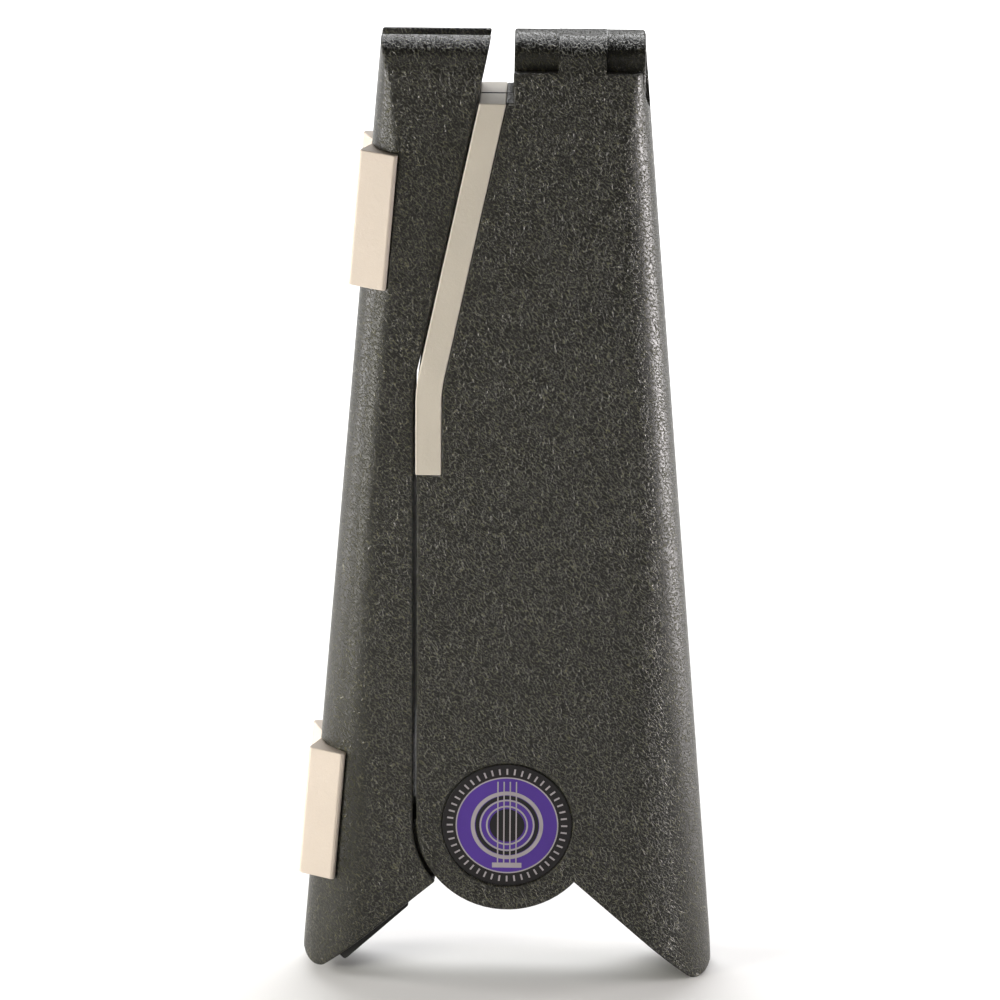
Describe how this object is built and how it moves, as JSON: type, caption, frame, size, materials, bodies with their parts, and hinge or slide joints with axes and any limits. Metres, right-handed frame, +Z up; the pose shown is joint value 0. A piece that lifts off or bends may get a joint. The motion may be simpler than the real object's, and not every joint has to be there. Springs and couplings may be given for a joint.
{
  "type": "folding instrument stand",
  "caption": "Folding tabletop stand for a ukulele or small guitar, folded shut: two hinged halves, each an upright with a swing-down padded arm.",
  "frame": {"origin": "on the floor, under the middle of the folded stand's bounding box", "axes": "+Z up along the folded stand; +X to the right in the front view, from the arms towards the uprights; +Y from the front half to the rear half"},
  "size_m": [0.1018, 0.0268, 0.236],
  "materials": {
    "shell": "leather-grained moulding, semi-gloss",
    "cover": "fine matt moulding",
    "pad": "soft matt elastomer",
    "foot": "soft matt elastomer",
    "bumper": "matt black rubber",
    "badge": "printed gloss disc",
    "steel": "plain turned steel",
    "screw": "zinc-plated steel"
  },
  "bodies": {
    "front_side": {"front_upright_shell": "shell", "front_upright_cover": "cover", "front_upright_screws": "screw", "front_backrest_pad": "pad", "front_badge": "badge", "front_pivot_washer": "steel", "front_wave_washer": "steel", "front_pivot_screw": "screw"},
    "rear_side": {"rear_upright_shell": "shell", "rear_upright_cover": "cover", "rear_upright_screws": "screw", "rear_backrest_pad": "pad", "rear_badge": "badge", "rear_pivot_washer": "steel", "rear_wave_washer": "steel", "rear_pivot_screw": "screw", "hinge_pin": "steel"},
    "front_arm": {"front_arm_shell": "shell", "front_arm_cover": "cover", "front_arm_screws": "screw", "front_cradle_pad": "pad", "front_toe_foot": "foot", "front_heel_foot": "foot", "front_stop_bumper": "bumper"},
    "rear_arm": {"rear_arm_shell": "shell", "rear_arm_cover": "cover", "rear_arm_screws": "screw", "rear_cradle_pad": "pad", "rear_toe_foot": "foot", "rear_heel_foot": "foot", "rear_stop_bumper": "bumper"}
  },
  "joints": [
    {"name": "spread_hinge", "type": "hinge", "parent": "front_side", "child": "rear_side", "pos_m": [0.0153, 0, 0.2275], "axis": [1, 0, 0], "range_deg": [0, 38]},
    {"name": "front_arm_swing", "type": "hinge", "parent": "front_side", "child": "front_arm", "pos_m": [0.00035, -0.0075, 0.0412], "axis": [0, -1, 0], "range_deg": [0, 94.9]},
    {"name": "rear_arm_swing", "type": "hinge", "parent": "rear_side", "child": "rear_arm", "pos_m": [0.00035, 0.0075, 0.0412], "axis": [0, -1, 0], "range_deg": [0, 94.9]}
  ]
}
